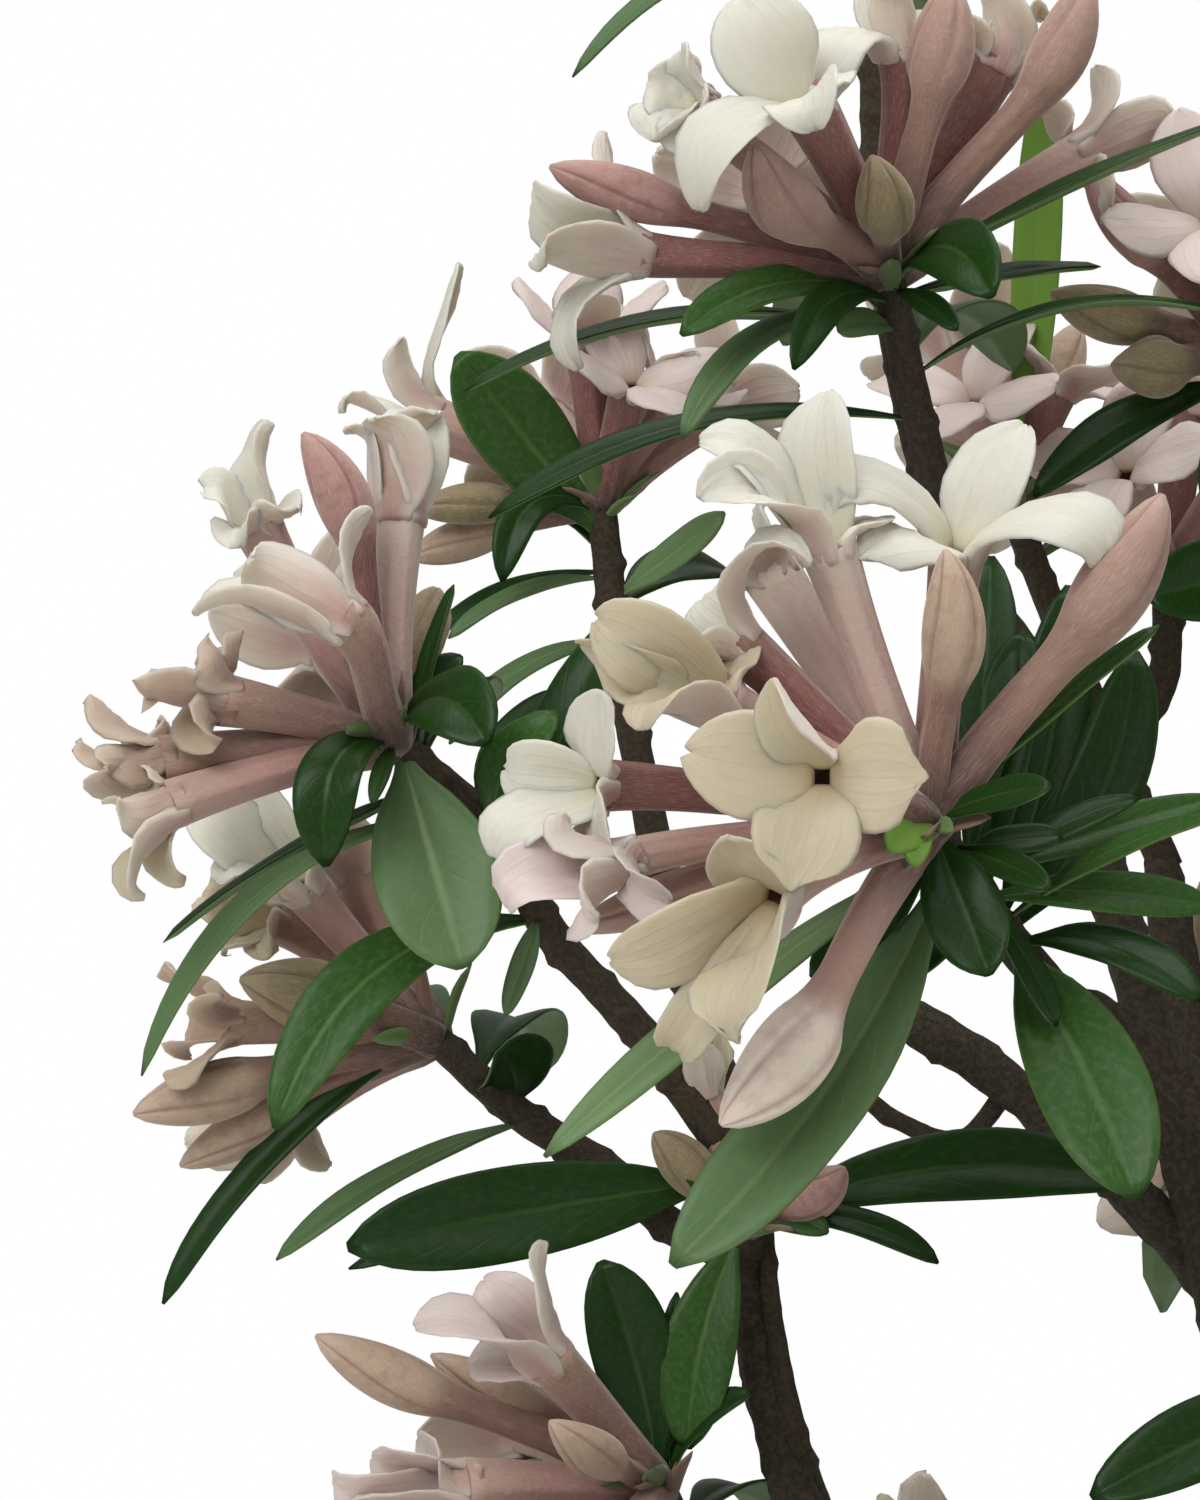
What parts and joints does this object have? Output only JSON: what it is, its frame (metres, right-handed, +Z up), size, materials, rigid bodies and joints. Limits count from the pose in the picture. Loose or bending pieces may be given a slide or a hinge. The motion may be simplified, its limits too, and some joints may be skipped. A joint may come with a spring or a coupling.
{
  "type": "daphne shrub",
  "caption": "Young daphne shrub in flower: short trunk, tapering boughs, and masses of twigs with heads of four-lobed blooms, buds and leaves.",
  "frame": {"origin": "middle of the flat cut under the trunk, at ground level", "axes": "+Z up the shrub, +X to the right and +Y to the back as seen in the picture"},
  "size_m": [0.1786, 0.1846, 0.2084],
  "materials": {
    "bark": "dark brown bark with fine cracks and pores, matt",
    "foliage": "glossy dark green leaves, cream blooms with downy pink tubes"
  },
  "bodies": {
    "root": {"trunk": "bark", "bough_back": "bark", "bough_back_left": "bark", "bough_centre": "bark", "bough_crown_back": "bark", "bough_crown_front": "bark", "bough_crown_right": "bark", "bough_far": "bark", "bough_front": "bark", "bough_inner": "bark", "bough_left": "bark", "bough_low_back": "bark", "bough_low_front": "bark", "bough_low_left": "bark", "bough_low_left_back": "bark", "bough_low_left_side": "bark", "bough_low_right": "bark", "bough_low_right_front": "bark", "bough_right": "bark", "bough_right_back": "bark", "bough_right_front": "bark", "bough_right_top": "bark", "bough_stub": "bark", "bough_top": "bark", "mass_back": "foliage", "mass_back_left": "foliage", "mass_centre": "foliage", "mass_crown_back": "foliage", "mass_crown_front": "foliage", "mass_crown_right": "foliage", "mass_far": "foliage", "mass_front": "foliage", "mass_inner": "foliage", "mass_left": "foliage", "mass_low_back": "foliage", "mass_low_front": "foliage", "mass_low_left": "foliage", "mass_low_left_back": "foliage", "mass_low_left_side": "foliage", "mass_low_right": "foliage", "mass_low_right_front": "foliage", "mass_right": "foliage", "mass_right_back": "foliage", "mass_right_front": "foliage", "mass_right_top": "foliage", "mass_top": "foliage"}
  },
  "joints": []
}
